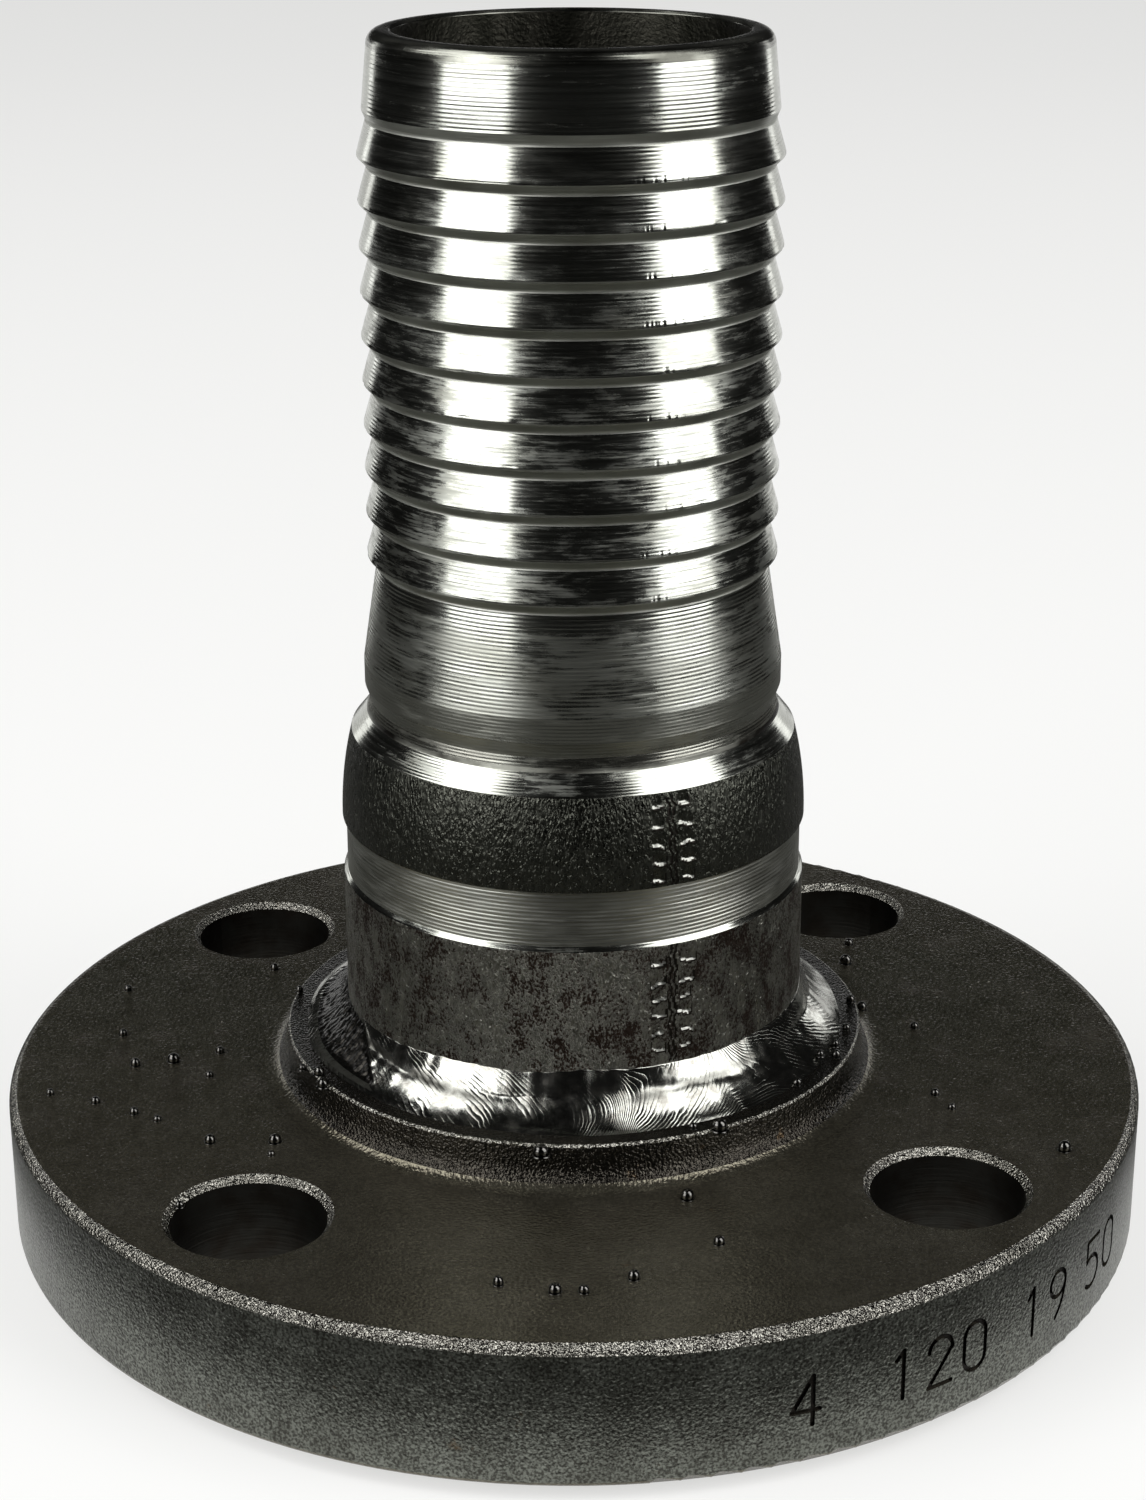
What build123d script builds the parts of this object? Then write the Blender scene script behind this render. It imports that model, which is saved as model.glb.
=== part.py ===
from build123d import *

import math
import os

# Flanged hose shank: a turned steel tube with a barbed hose end, slipped into
# a forged four-bolt pipe flange and welded to it on both sides.
# Millimetres, +Z up along the bore. The origin is the centre of the gasket face.

# Pipe that the shank is turned from
pipe_od = 60.3
pipe_wall = 8.74
pipe_setback = 7.0  # from the gasket face up to the pipe's lower end

# Flange
flange_od = 150.6
rim_thickness = 18.65
rim_top_round = 1.5
rim_foot_round = 1.2
bolt_edge_distance = 14.975  # from the bolt circle out to the rim
bolt_hole_diameter = 19.05
bolt_count = 4
bolt_hole_chamfer = 0.85
raised_face_margin = 4.75  # from the raised face out to the bolt holes
raised_face_height = 1.6
slip_clearance = 0.8  # radial gap between the pipe and the flange's bore
hub_wall = 7.4  # wall of the hub at its top
hub_height = 5.35  # above the rim's top face
hub_draft = 0.65  # the hub's radius grows by this much down its side
hub_foot_fillet = 3.0
hub_edge_round = 0.4

# Welds
weld_ledge = 2.45  # bare ring on the hub's top outside the weld
weld_rise = 6.1  # up the pipe from the hub's top
weld_hollow = 0.75  # how far the weld's face dips below a straight bevel
face_weld_reach = 5.6  # inwards over the pipe's end
face_weld_recess = 1.6  # from the gasket face up to the weld

# Body of the shank, from the pipe's lower end upwards
plain_length = 40.6
band_chamfer_height = 0.6
band_depth = 0.5
band_length = 7.3
shoulder_length = 11.7
shoulder_drop = 1.5  # loss of radius over the shoulder
neck_chamfer_height = 2.95
neck_length = 1.4
neck_depth = 0.5  # radial, below the collar
neck_lead_height = 1.95
collar_od = 53.5
collar_length = 3.1
collar_cone_length = 12.7

# Hose barbs
barb_count = 10
barb_pitch = 5.513
barb_crest_od = 51.9
barb_root_od = 49.55
barb_bevel_height = 1.15
barb_crest_flat = 0.3

# Plain land at the hose end
land_crest_od = 50.5
land_top_od = 49.0
land_length = 9.2
mouth_round = 1.65
mouth_inner_chamfer = 0.35

# Stamped numbers on the rim: number, and the angle of its middle about Z
rim_numbers = [("4", -74.0), ("120", -60.0), ("19", -45.5), ("50", -34.0)]
digit_height = 6.4
digit_width = 3.5
digit_gap = 2.0
digit_stroke = 0.6
digit_depth = 0.35
digit_base_height = 5.3  # from the rim's underside up to the foot of the digits

# Radii and heights that follow from the sizes above
pipe_radius = pipe_od / 2
bore_radius = pipe_radius - pipe_wall
flange_radius = flange_od / 2
bolt_circle_radius = flange_radius - bolt_edge_distance
raised_face_radius = bolt_circle_radius - bolt_hole_diameter / 2 - raised_face_margin
flange_bore_radius = pipe_radius + slip_clearance
hub_top_radius = flange_bore_radius + hub_wall
rim_top = raised_face_height + rim_thickness
hub_top = rim_top + hub_height

band_radius = pipe_radius - band_depth
shoulder_radius = pipe_radius - shoulder_drop
collar_radius = collar_od / 2
neck_radius = collar_radius - neck_depth
barb_root_radius = barb_root_od / 2
barb_crest_radius = barb_crest_od / 2
land_top_radius = land_top_od / 2

band_chamfer_foot = pipe_setback + plain_length
band_foot = band_chamfer_foot + band_chamfer_height
band_top = band_foot + band_length
shoulder_top = band_top + shoulder_length
neck_foot = shoulder_top + neck_chamfer_height
neck_top = neck_foot + neck_length
collar_foot = neck_top + neck_lead_height
collar_top = collar_foot + collar_length
barbs_foot = collar_top + collar_cone_length
land_foot = barbs_foot + barb_count * barb_pitch + barb_bevel_height
shank_top = land_foot + land_length


def turned(outline):
    """The solid swept by a closed half section, drawn as radius and height."""
    return revolve(Plane.XZ * make_face(outline), Axis.Z)


def bolt_hole():
    """Drilled hole through the rim, with a chamfer at its top edge."""
    radius = bolt_hole_diameter / 2
    beyond = 1.0
    outline = Polyline(
        (0, -beyond),
        (radius, -beyond),
        (radius, rim_top - bolt_hole_chamfer),
        (radius + bolt_hole_chamfer + beyond, rim_top + beyond),
        (0, rim_top + beyond),
        close=True,
    )
    return turned(outline)


def stroke(start, end):
    """Straight cut of a stamp, with round ends."""
    along = Vector(*end) - Vector(*start)
    middle = (Vector(*start) + Vector(*end)) / 2
    angle = math.degrees(math.atan2(along.Y, along.X))
    return Pos(middle.X, middle.Y) * SlotCenterToCenter(along.length, digit_stroke, rotation=angle)


def curved_stroke(start, middle, end):
    """Arc-shaped cut of a stamp, through three points."""
    return SlotArc(ThreePointArc(start, middle, end), digit_stroke)


def digit(symbol):
    """One stamped digit, with its foot at the local origin's left."""
    w = digit_width
    h = digit_height
    half = w / 2
    eye = h - half
    if symbol == "0":
        return (
            curved_stroke((0, half), (half, 0), (w, half))
            + curved_stroke((0, eye), (half, h), (w, eye))
            + stroke((0, half), (0, eye))
            + stroke((w, half), (w, eye))
        )
    if symbol == "1":
        return stroke((half, 0), (half, h)) + stroke((half, h), (0.2 * w, 0.82 * h))
    if symbol == "2":
        return (
            curved_stroke((0, eye), (half, h), (w, eye))
            + stroke((w, eye), (0, 0))
            + stroke((0, 0), (w, 0))
        )
    if symbol == "4":
        return (
            stroke((0.75 * w, 0), (0.75 * w, h))
            + stroke((0.75 * w, h), (0, 0.3 * h))
            + stroke((0, 0.3 * h), (w, 0.3 * h))
        )
    if symbol == "5":
        return (
            stroke((w, h), (0, h))
            + stroke((0, h), (0, 0.55 * h))
            + curved_stroke((0, 0.55 * h), (w, 0.3 * h), (0, 0.05 * h))
        )
    if symbol == "9":
        return (
            curved_stroke((0, eye), (half, h), (w, eye))
            + curved_stroke((0, eye), (half, eye - half), (w, eye))
            + curved_stroke((w, eye), (0.85 * w, 0.35 * h), (0.4 * w, 0))
        )
    raise ValueError(f"no strokes for {symbol}")


def digit_stamp(symbol, angle):
    """Cutter for one digit, set square to the rim at an angle about Z."""
    outward = Vector(1, 0, 0).rotate(Axis.Z, angle)
    floor = outward * (flange_radius - digit_depth)
    face = Plane(
        origin=floor + Vector(0, 0, raised_face_height + digit_base_height),
        x_dir=Vector(0, 1, 0).rotate(Axis.Z, angle),
        z_dir=outward,
    )
    return extrude(face * (Pos(-digit_width / 2, 0) * digit(symbol)), amount=digit_depth + 1.0)


def number_stamps(number, angle):
    """Cutters for one number, spread round the rim on both sides of an angle."""
    step = math.degrees((digit_width + digit_gap) / flange_radius)
    first = angle - (len(number) - 1) / 2 * step
    return [digit_stamp(symbol, first + place * step) for place, symbol in enumerate(number)]


def make_flange():
    """Forged flange with a raised gasket face, a low hub and four bolt holes."""
    corners = [
        (flange_bore_radius, 0, 0),
        (raised_face_radius, 0, 0),
        (raised_face_radius, raised_face_height, 0),
        (flange_radius, raised_face_height, rim_foot_round),
        (flange_radius, rim_top, rim_top_round),
        (hub_top_radius + hub_draft, rim_top, hub_foot_fillet),
        (hub_top_radius, hub_top, hub_edge_round),
        (flange_bore_radius, hub_top, 0),
    ]
    points = [(radius, height) for radius, height, _ in corners]
    rounds = [rounding for _, _, rounding in corners]
    body = turned(FilletPolyline(*points, radius=rounds, close=True))
    for place in PolarLocations(bolt_circle_radius, bolt_count, start_angle=180 / bolt_count):
        body -= place * bolt_hole()
    for number, angle in rim_numbers:
        for stamp in number_stamps(number, angle):
            body -= stamp
    return body


def barb_corners():
    """Corners of the barbs and the land's foot, upwards: each barb is a
    bevel out to its crest, a narrow flat, and a cone back to the next root."""
    corners = []
    for index in range(barb_count):
        root = barbs_foot + index * barb_pitch
        crest = root + barb_bevel_height
        corners.append((barb_root_radius, root))
        corners.append((barb_crest_radius, crest))
        corners.append((barb_crest_radius, crest + barb_crest_flat))
    corners.append((barb_root_radius, land_foot - barb_bevel_height))
    corners.append((land_crest_od / 2, land_foot))
    return corners


def make_hose_shank():
    """Tube turned from heavy-wall pipe: plain body, narrow turned band,
    rounded shoulder, neck, collar, barbs and a smooth land at the mouth."""
    below = Polyline(
        (bore_radius, pipe_setback),
        (pipe_radius, pipe_setback),
        (pipe_radius, band_chamfer_foot),
        (band_radius, band_foot),
        (band_radius, band_top),
        (pipe_radius, band_top),
    )
    shoulder = TangentArc((pipe_radius, band_top), (shoulder_radius, shoulder_top), tangent=(0, 1))
    above = Polyline(
        (shoulder_radius, shoulder_top),
        (neck_radius, neck_foot),
        (neck_radius, neck_top),
        (collar_radius, collar_foot),
        (collar_radius, collar_top),
        *barb_corners(),
        (land_top_radius, shank_top - mouth_round),
    )
    lip = TangentArc(
        (land_top_radius, shank_top - mouth_round),
        (land_top_radius - mouth_round, shank_top),
        tangent=(0, 1),
    )
    inside = Polyline(
        (land_top_radius - mouth_round, shank_top),
        (bore_radius + mouth_inner_chamfer, shank_top),
        (bore_radius, shank_top - mouth_inner_chamfer),
        (bore_radius, pipe_setback),
    )
    return turned(below + shoulder + above + lip + inside)


def make_hub_weld():
    """Hollow-faced fillet weld that joins the hub's top to the pipe."""
    toe_radius = hub_top_radius - weld_ledge
    toe = Vector(toe_radius, hub_top)
    peak = Vector(pipe_radius, hub_top + weld_rise)
    inwards = Vector(hub_top - peak.Y, pipe_radius - toe_radius).normalized()
    dip = (toe + peak) / 2 + inwards * weld_hollow
    sides = Polyline(peak, (pipe_radius, hub_top), toe)
    return turned(sides + ThreePointArc(toe, dip, peak))


def make_face_weld():
    """Fillet weld inside the flange's bore, over the pipe's lower end."""
    outline = Polyline(
        (flange_bore_radius, pipe_setback),
        (flange_bore_radius - face_weld_reach - slip_clearance, pipe_setback),
        (flange_bore_radius, face_weld_recess),
        close=True,
    )
    return turned(outline)


nodes = {
    "flange": make_flange(),
    "hose_shank": make_hose_shank(),
    "hub_weld": make_hub_weld(),
    "face_weld": make_face_weld(),
}

os.makedirs("parts", exist_ok=True)
for name, solid in nodes.items():
    export_step(solid, f"parts/{name}.step")
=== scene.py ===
# %% [markdown]
# # Flanged hose shank
# A hose shank is the steel stub that a big hose is pushed over and clamped to. This one is a
# thick tube with turned barbs, slipped into a forged four-bolt pipe flange and welded to it.
# The CAD model gives the true sizes. Blender adds what turning, forging and welding leave
# on the steel: rounded edges, tool lines, mill skin, ripples and spatter.

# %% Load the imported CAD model
import math

import bpy
import numpy as np
from mathutils import Euler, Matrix, Quaternion, Vector, noise


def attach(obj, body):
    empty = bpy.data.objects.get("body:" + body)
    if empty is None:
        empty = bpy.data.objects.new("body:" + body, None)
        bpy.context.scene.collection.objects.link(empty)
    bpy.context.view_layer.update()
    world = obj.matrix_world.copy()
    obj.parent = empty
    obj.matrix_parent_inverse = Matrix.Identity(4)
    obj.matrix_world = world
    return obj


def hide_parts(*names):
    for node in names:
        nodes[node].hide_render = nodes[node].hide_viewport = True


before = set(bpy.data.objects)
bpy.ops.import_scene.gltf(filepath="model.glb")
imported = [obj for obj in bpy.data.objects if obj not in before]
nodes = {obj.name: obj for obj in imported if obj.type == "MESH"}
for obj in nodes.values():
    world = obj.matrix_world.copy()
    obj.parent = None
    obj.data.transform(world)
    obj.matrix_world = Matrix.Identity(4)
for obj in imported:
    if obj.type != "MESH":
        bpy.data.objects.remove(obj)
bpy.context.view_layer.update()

print("CAD nodes:", sorted(nodes))

# %% [markdown]
# ## The camera
# The object is drawn in metres, +Z up, standing on its gasket face. The picture was taken
# from close by, a little above the barbs, looking down by 20 degrees. Heights and places are
# easier to think of in millimetres, so one factor turns them into metres.

# %% Camera
MM = 0.001
VIEW_AZIMUTH = -94.39  # where the camera stands around the object, degrees
VIEW_DISTANCE = 349.4
VIEW_HEIGHT = 191.944


def around(distance, azimuth, height):
    """A point in metres, from millimetres out from the axis, degrees round it and height."""
    turn = math.radians(azimuth)
    return Vector((distance * math.cos(turn), distance * math.sin(turn), height)) * MM


lens = bpy.data.cameras.new("photo_camera")
lens.sensor_width = 36.0
lens.lens = 68.63
lens.clip_end = 50.0
camera = bpy.data.objects.new("photo_camera", lens)
bpy.context.scene.collection.objects.link(camera)
camera.location = around(VIEW_DISTANCE, VIEW_AZIMUTH, VIEW_HEIGHT)
heading = Euler((0, 0, math.radians(VIEW_AZIMUTH + 90))).to_matrix()
tilt = Euler((math.radians(90 - 20.263), 0, 0)).to_matrix()
roll = Euler((0, 0, math.radians(-0.173))).to_matrix()
camera.rotation_euler = (heading @ tilt @ roll).to_euler()
bpy.context.scene.camera = camera
print("camera at", [round(v, 4) for v in camera.location])

# %% [markdown]
# ## A lathe in code
# A turned part is one outline spun about its axis, so the best mesh for it is a lathe: rings
# of points, one ring for each point of the outline. A Screw modifier does the same, but
# with our own rings each one can be pushed in or out later, for nicks and jaw marks.
# No machined corner is truly sharp, so every corner of the outline is cut back a little and
# rounded. A rounded edge catches a thin line of light, and a sharp one never does.

# %% Outline and lathe helpers
def softened(corners, steps=3):
    """Rounds the corners of a closed outline. A corner is (radius, height, rounding, finish),
    and its finish is for the surface that starts there. Returns (radius, height, finish)."""
    points = []
    for index, (radius, height, rounding, finish) in enumerate(corners):
        if rounding == 0:
            points.append((radius, height, finish))
            continue
        here = np.array((radius, height))
        before = here - np.array(corners[index - 1][:2])
        after = np.array(corners[(index + 1) % len(corners)][:2]) - here
        room = 0.45 * min(np.linalg.norm(before), np.linalg.norm(after))
        before /= np.linalg.norm(before)
        after /= np.linalg.norm(after)
        turn = math.acos(float(np.clip(before @ after, -1, 1)))
        cut = min(rounding * math.tan(turn / 2), room)
        for t in np.linspace(0, 1, steps + 1):
            bend = (1 - t) ** 2 * (here - before * cut) + 2 * t * (1 - t) * here
            bend = bend + t**2 * (here + after * cut)
            points.append((bend[0], bend[1], finish if t >= 0.5 else corners[index - 1][3]))
    return points


def with_rows(points, step, finishes):
    """Adds rings to the surfaces with these finishes, so that they can be dented."""
    dense = []
    for (r0, z0, finish), (r1, z1, _) in zip(points, points[1:] + points[:1]):
        count = max(1, math.ceil(math.hypot(r1 - r0, z1 - z0) / step)) if finish in finishes else 1
        for t in np.arange(count) / count:
            dense.append((r0 + (r1 - r0) * t, z0 + (z1 - z0) * t, finish))
    return dense


def spun_mesh(name, radii, heights, azimuths):
    """Closed ring-shaped mesh. radii and heights are grids in mm: outline points by azimuths."""
    rings, spokes = radii.shape
    turn = np.radians(azimuths)
    places = np.stack((radii * np.cos(turn), radii * np.sin(turn), heights), axis=-1) * MM
    ring, spoke = np.meshgrid(np.arange(rings), np.arange(spokes), indexing="ij")
    above, beside = (ring + 1) % rings, (spoke + 1) % spokes
    quads = np.stack(
        (ring * spokes + spoke, ring * spokes + beside, above * spokes + beside, above * spokes + spoke),
        axis=-1,
    ).reshape(-1, 4)
    mesh = bpy.data.meshes.new(name)
    mesh.from_pydata(places.reshape(-1, 3).tolist(), [], quads.tolist())
    mesh.shade_smooth()
    piece = bpy.data.objects.new(name, mesh)
    bpy.context.scene.collection.objects.link(piece)
    print(name, "has", len(mesh.polygons), "faces")
    return piece


# %% [markdown]
# ## The outline of the hose shank
# From the flange upwards: a stretch of plain pipe with its mill skin, a narrow turned band,
# a rounded shoulder that is mill skin again, a bright chamfer, a neck, a collar, a long cone,
# ten barbs and a plain land with a rounded mouth. The barbs are a loop, because a lathe
# operator cuts them as one repeated step: bevel out, narrow flat, cone back in.

# %% Outline of the shank, in millimetres
PIPE_RADIUS = 30.15
BORE_RADIUS = 21.41
PIPE_FOOT = 7.0
BAND_RADIUS = 29.65
BAND_FOOT = 48.2
BAND_TOP = 55.5
SHOULDER_RADIUS = 28.65
SHOULDER_TOP = 67.2
NECK_RADIUS = 26.25
COLLAR_RADIUS = 26.75
BARB_ROOT = 24.775
BARB_CREST = 25.95
BARB_COUNT = 10
BARB_PITCH = 5.513
BARBS_FOOT = 89.3
LAND_FOOT = 145.58
LAND_TOP_RADIUS = 24.5
MOUTH_ROUND = 1.65
SHANK_TOP = 154.78

shank_corners = [
    (PIPE_RADIUS, PIPE_FOOT, 0, "pipe_skin"),
    (PIPE_RADIUS, BAND_FOOT - 0.6, 0.25, "step"),
    (BAND_RADIUS, BAND_FOOT, 0.12, "band"),
    (BAND_RADIUS, BAND_TOP, 0.12, "step"),
    (PIPE_RADIUS, BAND_TOP, 0, "shoulder_skin"),
]
drop = PIPE_RADIUS - SHOULDER_RADIUS
shoulder_arc = (drop**2 + (SHOULDER_TOP - BAND_TOP) ** 2) / (2 * drop)
for height in np.linspace(BAND_TOP, SHOULDER_TOP, 13)[1:-1]:
    inwards = shoulder_arc - math.sqrt(shoulder_arc**2 - (height - BAND_TOP) ** 2)
    shank_corners.append((PIPE_RADIUS - inwards, height, 0, "shoulder_skin"))
shank_corners += [
    (SHOULDER_RADIUS, SHOULDER_TOP, 0.3, "chamfer"),
    (NECK_RADIUS + 0.35, 69.72, 0, "groove"),
    (NECK_RADIUS + 0.15, 69.97, 0, "groove"),
    (NECK_RADIUS + 0.1, 70.25, 0, "neck"),
    (NECK_RADIUS - 0.2, 71.55, 0.4, "lead"),
    (COLLAR_RADIUS, 73.5, 0.2, "collar"),
    (COLLAR_RADIUS, 76.6, 0.5, "cone"),
]
for barb in range(BARB_COUNT):
    root = BARBS_FOOT + barb * BARB_PITCH
    shank_corners.append((BARB_ROOT + 0.06, root - 0.22, 0, "root"))
    shank_corners.append((BARB_ROOT, root, 0.3, "root"))
    shank_corners.append((BARB_ROOT + 0.2, root + 0.2, 0, "bevel"))
    shank_corners.append((BARB_CREST - 0.26, root + 0.9, 0, "bevel"))
    shank_corners.append((BARB_CREST, root + 1.15, 0.12, "barbs"))
    shank_corners.append((BARB_CREST, root + 1.45, 0.2, "barbs"))
    shank_corners.append((BARB_CREST - 0.289 * 0.3, root + 1.75, 0, "barbs"))
    shank_corners.append((BARB_CREST - 0.289 * 0.7, root + 2.15, 0, "barbs"))
shank_corners += [
    (BARB_ROOT + 0.06, LAND_FOOT - 1.37, 0, "root"),
    (BARB_ROOT, LAND_FOOT - 1.15, 0.3, "root"),
    (BARB_ROOT + 0.1, LAND_FOOT - 0.9, 0, "bevel"),
    (25.25, LAND_FOOT, 0.2, "land"),
]
for degrees in (0, 15, 30, 45, 60, 75, 90):
    out, up = math.cos(math.radians(degrees)), math.sin(math.radians(degrees))
    corner = (LAND_TOP_RADIUS - MOUTH_ROUND * (1 - out), SHANK_TOP - MOUTH_ROUND * (1 - up))
    shank_corners.append((*corner, 0, "mouth" if degrees else "mouth"))
shank_corners += [
    (BORE_RADIUS + 0.35, SHANK_TOP, 0.15, "mouth"),
    (BORE_RADIUS, SHANK_TOP - 0.35, 0.15, "bore"),
    (BORE_RADIUS, PIPE_FOOT, 0, "bore"),
]

shank_outline = with_rows(softened(shank_corners), 0.19, ("shoulder_skin",))
shank_outline = [p for p in shank_outline]
print("outline points:", len(shank_outline))

# %% [markdown]
# ## Jaw marks and nicks
# The tube was gripped in a chuck while it was turned, and the hard jaws bit two columns of
# small steps into its skin. They are real dents, so they are made by moving points of the
# lathe: each bite is deepest just above its lower ledge and runs out upwards. The rings
# and spokes are closer together there. The crests of the barbs are thin and get nicked
# when parts knock together in a crate.

# %% Dent the rings
JAW_COLUMNS = (-74.0, -66.9)  # degrees round the tube
JAW_LEDGES = (33.5, 35.7, 38.1, 40.3, 42.4, 45.1, 56.3, 58.5, 60.8, 63.1, 65.6)
JAW_WIDTH = 1.9
JAW_DEPTH = 0.3
rng = np.random.default_rng(11)

azimuths = np.concatenate((
    np.arange(-180, -78, 1.6), np.arange(-78, -62.9, 0.36), np.arange(-62.6, 179, 1.6)))
skin_rows = []
for (r0, z0, finish), (r1, z1, _) in zip(shank_outline, shank_outline[1:] + shank_outline[:1]):
    count = 76 if finish == "pipe_skin" and z0 < PIPE_FOOT + 1 else 1
    bottom = 31.4
    if count > 1:
        skin_rows.append((r0, z0, finish))
        skin_rows += [(r0, z, finish) for z in np.linspace(bottom, z1, count, endpoint=False)]
    else:
        skin_rows.append((r0, z0, finish))
shank_outline = skin_rows
finishes = [finish for _, _, finish in shank_outline]
radii = np.array([[p[0]] * len(azimuths) for p in shank_outline])
heights = np.array([[p[1]] * len(azimuths) for p in shank_outline])
outside = np.array([finish in ("pipe_skin", "shoulder_skin") for finish in finishes])[:, None]

bite = np.zeros_like(radii)
ledges = np.zeros(radii.shape, dtype=bool)
cut = np.zeros(radii.shape, dtype=bool)
for column in JAW_COLUMNS:
    for ledge in JAW_LEDGES:
        lean = rng.uniform(-0.5, 0.5)
        across = (azimuths - column - rng.uniform(-0.45, 0.45)) * math.pi / 180 * PIPE_RADIUS
        width = JAW_WIDTH * rng.uniform(0.72, 1.08)
        rise = heights - ledge - lean * across / JAW_WIDTH + 0.1 * np.sin(across * 4 + ledge)
        depth = np.interp(rise, (-0.5, -0.2, -0.08, 0.1, 0.6, 1.6), (0, -0.35, 0, 1, 0.55, 0))
        window = np.clip((width / 2 + 0.12 - np.abs(across)) / 0.24, 0, 1)
        bite += JAW_DEPTH * rng.uniform(0.7, 1.1) * depth * window * outside
        ledges |= (rise > -0.2) & (rise < 0.04) & (window > 0.4) & outside
        # Faces just below each ledge, and along some sides of a bite, are marked for a near-black finish: painted
        # shade.
        under = (rise > -0.5) & (rise < -0.2) & (window > 0.05)
        side = (np.abs(np.abs(across) - width / 2 - 0.1) < 0.11) & (rise > -0.4) & (rise < 0.9)
        cut |= (under | side & (rng.uniform() < 0.6)) & outside
# A seam between the two columns is dented, and its middle is marked for the same near-black finish: painted shade.
middle = sum(JAW_COLUMNS) / 2
shadowed = np.zeros(radii.shape, dtype=bool)
for offset in (-0.35, 0.3):
    wobble = 0.18 * np.sin(heights * 2.1 + offset * 9) + 0.1 * np.sin(heights * 5.3)
    across = np.abs((azimuths - middle) * math.pi / 180 * PIPE_RADIUS - offset - wobble)
    bite += 0.13 * np.clip(1 - across / 0.26, 0, 1) * outside * (heights < 66.5)
    shadowed |= (across < 0.16) & outside & (heights < 66.5) & (heights > 31.4)
radii -= bite

crest_rings = np.flatnonzero((radii.max(axis=1) > BARB_CREST - 0.06) & np.array([f in ("barbs", "bevel") for f in finishes]))
for barb in range(BARB_COUNT):
    low = BARBS_FOOT + barb * BARB_PITCH
    rings = [ring for ring in crest_rings if low < heights[ring, 0] < low + 1.7]
    for spoke in rng.choice(len(azimuths), 30, replace=False):
        radii[rings, spoke] -= rng.uniform(0.04, 0.12)
print("jaw bites up to", round(float(bite.max()), 3), "mm deep; crest rings:", len(crest_rings))

hose_shank = spun_mesh("turned_hose_shank", radii, heights, azimuths)
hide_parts("hose_shank")
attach(hose_shank, "root")

# %% [markdown]
# ## The weld around the hub
# The weld was laid in a few overlapping runs. Each left a hollow, shiny face with fine
# ripples, because the puddle of metal freezes in steps behind the arc. Ripples are lines
# that lean along the joint, and curl into crescents where a run stops. A plain ring
# with a bump texture could not show a wavy edge or a stop, so the ring is a fine mesh
# whose points are pushed by the ripple heights.

# %% Ripple pattern of the weld
HUB_TOP = 25.6
WELD_TOE = 35.9
WELD_RISE = 6.1
WELD_HOLLOW = 0.75
RIPPLE_PITCH = 0.9
SPOKES = 1600
FACE_ROWS = 50

weld_azimuths = np.linspace(-180, 180, SPOKES, endpoint=False)
seen = (weld_azimuths - VIEW_AZIMUTH + 180) % 360 - 180  # degrees from the camera's side
# How far each ripple leans along the joint from the top of the weld to its toe, in degrees,
# and how strongly it curls into a crescent.
lean_places = (-180, -150, -110, -75, -58, -20, 8, 13, 22, 36, 45, 56, 90, 130, 180)
lean_degrees = (0, -26, 24, 26, 28, 26, 4, -8, -15, -14, -2, 12, 26, -24, 0)
curl_places = (-180, -130, -95, -60, -14, 4, 13, 22, 36, 45, 56, 90, 125, 180)
curl_degrees = (6, 24, 6, 6, 8, 34, 34, 4, 16, 34, 8, 6, 24, 6)


def weld_ripples(degrees, up):
    """Height of the frozen ripples, in mm, at a place round the weld and up its face."""
    lean = np.interp(degrees, lean_places, lean_degrees)
    curl = np.interp(degrees, curl_places, curl_degrees)
    line = degrees - lean * (1 - up) + curl * (up - 0.45) ** 2
    grid = np.linspace(-260, 260, 4000)
    slope = np.interp(grid, lean_places, lean_degrees) * math.pi / 180 * 33 / 8.4
    per_degree = math.pi / 180 * 33 / (RIPPLE_PITCH * np.sqrt(1 + slope**2))
    phase = np.interp(line, grid, np.cumsum(per_degree) * (grid[1] - grid[0]))
    return 0.5 - np.abs(phase % 1 - 0.5) * 2, phase


up = np.linspace(0, 1, FACE_ROWS)[:, None] * np.ones((1, SPOKES))
around_weld = np.ones((FACE_ROWS, 1)) * seen[None, :]
steps, phase = weld_ripples(around_weld, up)
patchy = np.array(
    [[noise.noise(Vector((a * 0.16, s * 2.2, 3.0))) for a in seen] for s in up[:, 0]]
)
swell = np.array([[noise.noise(Vector((a * 0.05, s * 1.3, 9.0))) for a in seen] for s in up[:, 0]])
strength = np.clip(0.75 + 1.3 * patchy, 0.15, 1.6)
crescent = np.exp(-(((around_weld - 9) / 6) ** 2)) + np.exp(-(((around_weld - 44) / 5) ** 2))
ripple = 0.012 * steps * strength * (1 + 0.8 * crescent) + 0.07 * swell

# Two runs lie one above the other, and a shallow valley is left between them.
valley = 0.64 + 0.05 * np.sin(np.radians(around_weld) * 5 + 0.6) + 0.05 * patchy
valley_depth = np.interp(around_weld, (-70, -60, -20, -5, 12, 22, 50, 180), (0, 0.3, 0.26, 0.08, 0.1, 0.2, 0.2, 0.1))
ripple -= valley_depth * np.exp(-(((up - valley) / 0.085) ** 2)) * np.clip(0.8 + swell, 0.4, 1)

# The run that stops at the left was started over a rough, dark tack.
stop_edge = -66 + 21 * (1 - up) ** 0.8
tack = 1 / (1 + np.exp(np.clip((around_weld - stop_edge) / 0.8, -30, 30)))
tack *= np.clip((around_weld + 118) / 8, 0, 1) * np.clip((up - 0.08) / 0.15, 0, 1)
rough = np.array([[noise.noise(Vector((a * 0.9, s * 9, 5.0))) for a in seen] for s in up[:, 0]])
ripple = ripple * (1 - tack) + tack * (-0.35 + 0.16 * rough)
ripple += 0.22 * np.exp(-(((around_weld - stop_edge - 0.6) / 1.3) ** 2)) * np.clip((up - 0.1) / 0.3, 0, 1) * (around_weld < -40)
print("ripples from", round(float(ripple.min()), 2), "to", round(float(ripple.max()), 2), "mm")

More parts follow.
